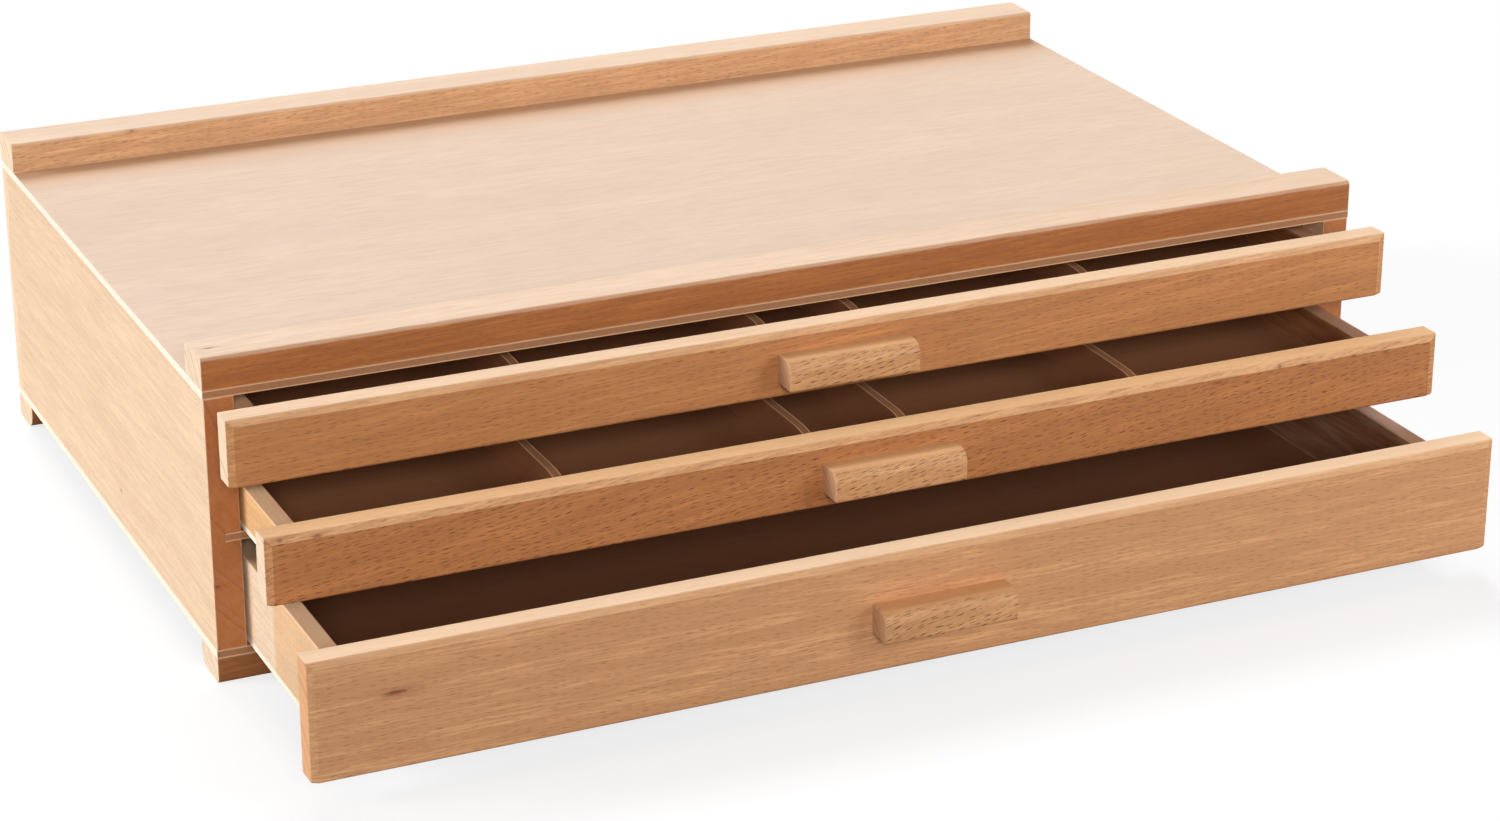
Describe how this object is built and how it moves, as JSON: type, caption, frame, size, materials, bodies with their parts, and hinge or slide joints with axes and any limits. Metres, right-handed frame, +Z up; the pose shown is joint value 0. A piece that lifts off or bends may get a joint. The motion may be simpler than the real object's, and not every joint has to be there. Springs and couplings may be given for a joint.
{
  "type": "drawer box",
  "caption": "Low beech drawer box for pencils: sliding drawers of two depths with bar handles, the shallow ones divided, and a railed tray on top.",
  "frame": {"origin": "middle of the base of the bounding box, on the surface it stands on, with the drawers open as at rest", "axes": "+X to the right along the drawer fronts, +Y from the front to the back, +Z up"},
  "size_m": [0.4, 0.3426, 0.1067],
  "materials": {
    "case_side": "clear satin on beech",
    "top_ply": "clear satin on plywood",
    "bottom_ply": "bare plywood",
    "back_panel": "clear satin on beech",
    "shelf_ply": "bare plywood",
    "rail": "clear satin on beech",
    "foot": "clear satin on beech",
    "upper_front": "clear satin on beech",
    "middle_front": "clear satin on beech",
    "lower_front": "clear satin on beech",
    "drawer_side": "bare beech",
    "drawer_back": "bare beech",
    "drawer_floor": "bare plywood",
    "divider": "bare plywood",
    "handle": "clear satin on beech",
    "screw": "zinc plated"
  },
  "bodies": {
    "case": {"case_left_side": "case_side", "case_right_side": "case_side", "case_top_panel": "top_ply", "case_bottom_panel": "bottom_ply", "case_back_panel": "back_panel", "upper_drawer_shelf": "shelf_ply", "middle_drawer_shelf": "shelf_ply", "front_tray_rail": "rail", "back_tray_rail": "rail", "front_foot_rail": "foot", "back_foot_rail": "foot"},
    "upper_drawer": {"upper_drawer_front": "upper_front", "upper_drawer_left_side": "drawer_side", "upper_drawer_right_side": "drawer_side", "upper_drawer_back": "drawer_back", "upper_drawer_floor": "drawer_floor", "upper_drawer_handle": "handle", "upper_handle_screws": "screw", "upper_drawer_divider_1": "divider", "upper_drawer_divider_2": "divider", "upper_drawer_divider_3": "divider", "upper_drawer_divider_4": "divider"},
    "middle_drawer": {"middle_drawer_front": "middle_front", "middle_drawer_left_side": "drawer_side", "middle_drawer_right_side": "drawer_side", "middle_drawer_back": "drawer_back", "middle_drawer_floor": "drawer_floor", "middle_drawer_handle": "handle", "middle_handle_screws": "screw", "middle_drawer_divider_1": "divider", "middle_drawer_divider_2": "divider", "middle_drawer_divider_3": "divider", "middle_drawer_divider_4": "divider"},
    "lower_drawer": {"lower_drawer_front": "lower_front", "lower_drawer_left_side": "drawer_side", "lower_drawer_right_side": "drawer_side", "lower_drawer_back": "drawer_back", "lower_drawer_floor": "drawer_floor", "lower_drawer_handle": "handle", "lower_handle_screws": "screw"}
  },
  "joints": [
    {"name": "upper_drawer_slide", "type": "slide", "parent": "case", "child": "upper_drawer", "axis": [0, -1, 0], "range_m": [-0.0147, 0.175]},
    {"name": "middle_drawer_slide", "type": "slide", "parent": "case", "child": "middle_drawer", "axis": [0, -1, 0], "range_m": [-0.0477, 0.142]},
    {"name": "lower_drawer_slide", "type": "slide", "parent": "case", "child": "lower_drawer", "axis": [0, -1, 0], "range_m": [-0.0827, 0.107]}
  ]
}
